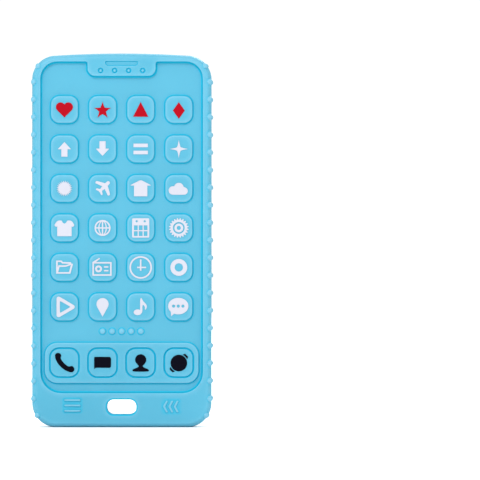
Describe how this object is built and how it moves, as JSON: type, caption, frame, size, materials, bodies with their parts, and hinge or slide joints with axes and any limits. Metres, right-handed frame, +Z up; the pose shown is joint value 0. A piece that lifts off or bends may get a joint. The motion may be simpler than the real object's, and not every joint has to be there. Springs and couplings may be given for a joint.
{
  "type": "toy phone teether",
  "caption": "Flat rounded toy phone in soft silicone: raised icon pads and dock on the front, strap slot, finger grooves and camera relief on the back, gripping bumps down the sides.",
  "frame": {"origin": "middle of the bottom edge, on the plane that the phone stands on, centred across its width and its depth", "axes": "+Z up the phone towards the notch, +Y out of the ribbed back, so the screen faces -Y, and +X to the right as seen from the front"},
  "size_m": [0.0684, 0.0136, 0.14],
  "materials": {
    "silicone_blue": "matte sky-blue silicone, soft to the touch",
    "silicone_red": "matte red silicone inlay",
    "silicone_white": "matte white silicone inlay",
    "silicone_black": "matte near-black silicone inlay"
  },
  "bodies": {
    "root": {"body": "silicone_blue", "heart_inlay": "silicone_red", "star_inlay": "silicone_red", "triangle_inlay": "silicone_red", "diamond_inlay": "silicone_red", "arrow_up_inlay": "silicone_white", "arrow_down_inlay": "silicone_white", "equals_upper_bar_inlay": "silicone_white", "equals_lower_bar_inlay": "silicone_white", "sparkle_inlay": "silicone_white", "sun_inlay": "silicone_white", "airplane_inlay": "silicone_white", "house_inlay": "silicone_white", "cloud_inlay": "silicone_white", "shirt_inlay": "silicone_white", "globe_inlay": "silicone_white", "calendar_inlay": "silicone_white", "gear_rim_inlay": "silicone_white", "gear_hub_inlay": "silicone_white", "folder_inlay": "silicone_white", "radio_case_inlay": "silicone_white", "radio_speaker_inlay": "silicone_white", "radio_upper_bar_inlay": "silicone_white", "radio_lower_bar_inlay": "silicone_white", "clock_ring_inlay": "silicone_white", "clock_hands_inlay": "silicone_white", "ring_inlay": "silicone_white", "play_inlay": "silicone_white", "map_pin_inlay": "silicone_white", "music_note_inlay": "silicone_white", "speech_bubble_inlay": "silicone_white", "handset_inlay": "silicone_black", "message_inlay": "silicone_black", "person_inlay": "silicone_black", "planet_inlay": "silicone_black", "planet_upper_arc_inlay": "silicone_black", "planet_lower_arc_inlay": "silicone_black"}
  },
  "joints": []
}
